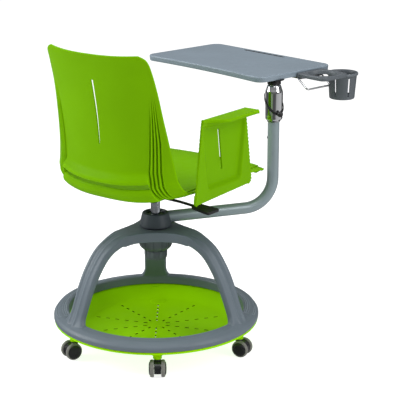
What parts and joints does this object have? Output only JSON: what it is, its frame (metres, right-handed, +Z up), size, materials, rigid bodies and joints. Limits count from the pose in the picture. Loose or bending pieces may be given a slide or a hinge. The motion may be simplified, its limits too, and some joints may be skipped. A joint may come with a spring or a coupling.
{
  "type": "student desk chair",
  "caption": "Swivel shell chair with one armrest on a caster base with a round storage tray, and a writing tablet with a cup holder on a swing arm round the same column.",
  "frame": {"origin": "middle of the whole object's footprint, on the floor", "axes": "+Z up; the sitter faces -Y and the armrest is on the sitter's right, at -X"},
  "size_m": [0.6723, 0.9263, 0.914],
  "materials": {
    "seat_green": "lightly textured moulded polypropylene, soft sheen",
    "tray_green": "lightly textured moulded polypropylene, soft sheen",
    "base_grey": "textured moulded polypropylene",
    "nut_grey": "fluted moulded plastic",
    "hub_grey": "moulded plastic",
    "tablet_grey": "fine textured moulded top",
    "cup_grey": "moulded plastic",
    "silver_paint": "silver grey powder coat",
    "chrome": "bright plated",
    "bright_steel": "turned steel",
    "black_metal": "black powder coat",
    "black_plastic": "moulded plastic",
    "caster_black": "moulded nylon",
    "caster_tread": "soft grey tread on a black wheel"
  },
  "bodies": {
    "base": {"base_frame": "base_grey", "storage_tray": "tray_green", "column_nut": "nut_grey", "column_end_cap": "base_grey", "gas_cylinder": "black_metal", "hub_bearing_washer": "black_plastic", "caster_1_stem": "bright_steel", "caster_2_stem": "bright_steel", "caster_3_stem": "bright_steel", "caster_4_stem": "bright_steel", "caster_5_stem": "bright_steel", "caster_6_stem": "bright_steel"},
    "desk_arm": {"desk_arm_hub": "hub_grey", "desk_arm_tube": "silver_paint", "tube_plug": "black_plastic", "mast_sleeve": "chrome", "sleeve_end_ring": "bright_steel"},
    "release_lever": {"release_loop": "black_plastic", "release_knob": "black_plastic"},
    "mast": {"mast_tube": "bright_steel", "mast_collar": "black_plastic"},
    "tablet": {"tablet_mount": "bright_steel", "tablet_top": "tablet_grey", "cup_holder_plate": "tablet_grey", "bail_bracket": "bright_steel", "pencil_cup": "cup_grey"},
    "bail": {"cup_bail": "chrome"},
    "gas_lift": {"gas_rod": "chrome"},
    "seat": {"seat_mechanism": "black_metal", "seat_shell": "seat_green", "seat_insert": "seat_green", "armrest_right": "seat_green", "armrest_bracket": "black_metal"},
    "lift_lever": {"lift_lever_stem": "black_metal", "lift_lever_paddle": "black_plastic"},
    "caster_1": {"caster_1_housing": "caster_black", "caster_1_axle": "bright_steel"},
    "wheel_1_left": {"caster_1_wheel_left": "caster_tread"},
    "wheel_1_right": {"caster_1_wheel_right": "caster_tread"},
    "caster_2": {"caster_2_housing": "caster_black", "caster_2_axle": "bright_steel"},
    "wheel_2_left": {"caster_2_wheel_left": "caster_tread"},
    "wheel_2_right": {"caster_2_wheel_right": "caster_tread"},
    "caster_3": {"caster_3_housing": "caster_black", "caster_3_axle": "bright_steel"},
    "wheel_3_left": {"caster_3_wheel_left": "caster_tread"},
    "wheel_3_right": {"caster_3_wheel_right": "caster_tread"},
    "caster_4": {"caster_4_housing": "caster_black", "caster_4_axle": "bright_steel"},
    "wheel_4_left": {"caster_4_wheel_left": "caster_tread"},
    "wheel_4_right": {"caster_4_wheel_right": "caster_tread"},
    "caster_5": {"caster_5_housing": "caster_black", "caster_5_axle": "bright_steel"},
    "wheel_5_left": {"caster_5_wheel_left": "caster_tread"},
    "wheel_5_right": {"caster_5_wheel_right": "caster_tread"},
    "caster_6": {"caster_6_housing": "caster_black", "caster_6_axle": "bright_steel"},
    "wheel_6_left": {"caster_6_wheel_left": "caster_tread"},
    "wheel_6_right": {"caster_6_wheel_right": "caster_tread"}
  },
  "joints": [
    {"name": "desk_arm_swing", "type": "hinge", "parent": "base", "child": "desk_arm", "pos_m": [0.0259, 0.1576, 0.378], "axis": [0, 0, 1], "range_deg": [-100, 95]},
    {"name": "mast_slide", "type": "slide", "parent": "desk_arm", "child": "mast", "axis": [0, 0, 1], "range_m": [0, 0.08]},
    {"name": "release_lever_pull", "type": "slide", "parent": "desk_arm", "child": "release_lever", "axis": [0, 0, 1], "range_m": [0, 0.005], "stiffness_N_per_m": 150},
    {"name": "tablet_swivel", "type": "hinge", "parent": "mast", "child": "tablet", "pos_m": [-0.17506, -0.15663, 0.765], "axis": [0, 0, 1], "range_deg": [-75, 60]},
    {"name": "bail_fold", "type": "hinge", "parent": "tablet", "child": "bail", "pos_m": [-0.22005, -0.27858, 0.7631], "axis": [0.181, 0.9835, 0], "range_deg": [0, 25]},
    {"name": "gas_lift_slide", "type": "slide", "parent": "base", "child": "gas_lift", "axis": [0, 0, 1], "range_m": [0, 0.08]},
    {"name": "seat_swivel", "type": "hinge", "parent": "gas_lift", "child": "seat", "pos_m": [0.0259, 0.1576, 0.47], "axis": [0, 0, 1], "range_deg": [-100, 100]},
    {"name": "lift_lever_pull", "type": "hinge", "parent": "seat", "child": "lift_lever", "pos_m": [-0.0291, 0.1996, 0.461], "axis": [0, 1, 0], "range_deg": [0, 6], "stiffness_Nm_per_rad": 2},
    {"name": "caster_1_swivel", "type": "hinge", "parent": "base", "child": "caster_1", "pos_m": [0.29867, 0.20227, 0.055], "axis": [0, 0, 1], "continuous": true},
    {"name": "wheel_1_left_spin", "type": "hinge", "parent": "caster_1", "child": "wheel_1_left", "pos_m": [0.30854, 0.20388, 0.025], "axis": [-0.1616, 0.9869, 0], "continuous": true},
    {"name": "wheel_1_right_spin", "type": "hinge", "parent": "caster_1", "child": "wheel_1_right", "pos_m": [0.30854, 0.20388, 0.025], "axis": [-0.1616, 0.9869, 0], "continuous": true},
    {"name": "caster_2_swivel", "type": "hinge", "parent": "base", "child": "caster_2", "pos_m": [0.1236, 0.41616, 0.055], "axis": [0, 0, 1], "continuous": true},
    {"name": "wheel_2_left_spin", "type": "hinge", "parent": "caster_2", "child": "wheel_2_left", "pos_m": [0.12714, 0.42551, 0.025], "axis": [-0.9354, 0.3535, 0], "continuous": true},
    {"name": "wheel_2_right_spin", "type": "hinge", "parent": "caster_2", "child": "wheel_2_right", "pos_m": [0.12714, 0.42551, 0.025], "axis": [-0.9354, 0.3535, 0], "continuous": true},
    {"name": "caster_3_swivel", "type": "hinge", "parent": "base", "child": "caster_3", "pos_m": [-0.14917, 0.37149, 0.055], "axis": [0, 0, 1], "continuous": true},
    {"name": "wheel_3_left_spin", "type": "hinge", "parent": "caster_3", "child": "wheel_3_left", "pos_m": [-0.1555, 0.37923, 0.025], "axis": [-0.7738, -0.6334, 0], "continuous": true},
    {"name": "wheel_3_right_spin", "type": "hinge", "parent": "caster_3", "child": "wheel_3_right", "pos_m": [-0.1555, 0.37923, 0.025], "axis": [-0.7738, -0.6334, 0], "continuous": true},
    {"name": "caster_4_swivel", "type": "hinge", "parent": "base", "child": "caster_4", "pos_m": [-0.24687, 0.11293, 0.055], "axis": [0, 0, 1], "continuous": true},
    {"name": "wheel_4_left_spin", "type": "hinge", "parent": "caster_4", "child": "wheel_4_left", "pos_m": [-0.25674, 0.11132, 0.025], "axis": [0.1616, -0.9869, 0], "continuous": true},
    {"name": "wheel_4_right_spin", "type": "hinge", "parent": "caster_4", "child": "wheel_4_right", "pos_m": [-0.25674, 0.11132, 0.025], "axis": [0.1616, -0.9869, 0], "continuous": true},
    {"name": "caster_5_swivel", "type": "hinge", "parent": "base", "child": "caster_5", "pos_m": [-0.0718, -0.10096, 0.055], "axis": [0, 0, 1], "continuous": true},
    {"name": "wheel_5_left_spin", "type": "hinge", "parent": "caster_5", "child": "wheel_5_left", "pos_m": [-0.07534, -0.11031, 0.025], "axis": [0.9354, -0.3535, 0], "continuous": true},
    {"name": "wheel_5_right_spin", "type": "hinge", "parent": "caster_5", "child": "wheel_5_right", "pos_m": [-0.07534, -0.11031, 0.025], "axis": [0.9354, -0.3535, 0], "continuous": true},
    {"name": "caster_6_swivel", "type": "hinge", "parent": "base", "child": "caster_6", "pos_m": [0.20097, -0.05629, 0.055], "axis": [0, 0, 1], "continuous": true},
    {"name": "wheel_6_left_spin", "type": "hinge", "parent": "caster_6", "child": "wheel_6_left", "pos_m": [0.2073, -0.06403, 0.025], "axis": [0.7738, 0.6334, 0], "continuous": true},
    {"name": "wheel_6_right_spin", "type": "hinge", "parent": "caster_6", "child": "wheel_6_right", "pos_m": [0.2073, -0.06403, 0.025], "axis": [0.7738, 0.6334, 0], "continuous": true}
  ]
}
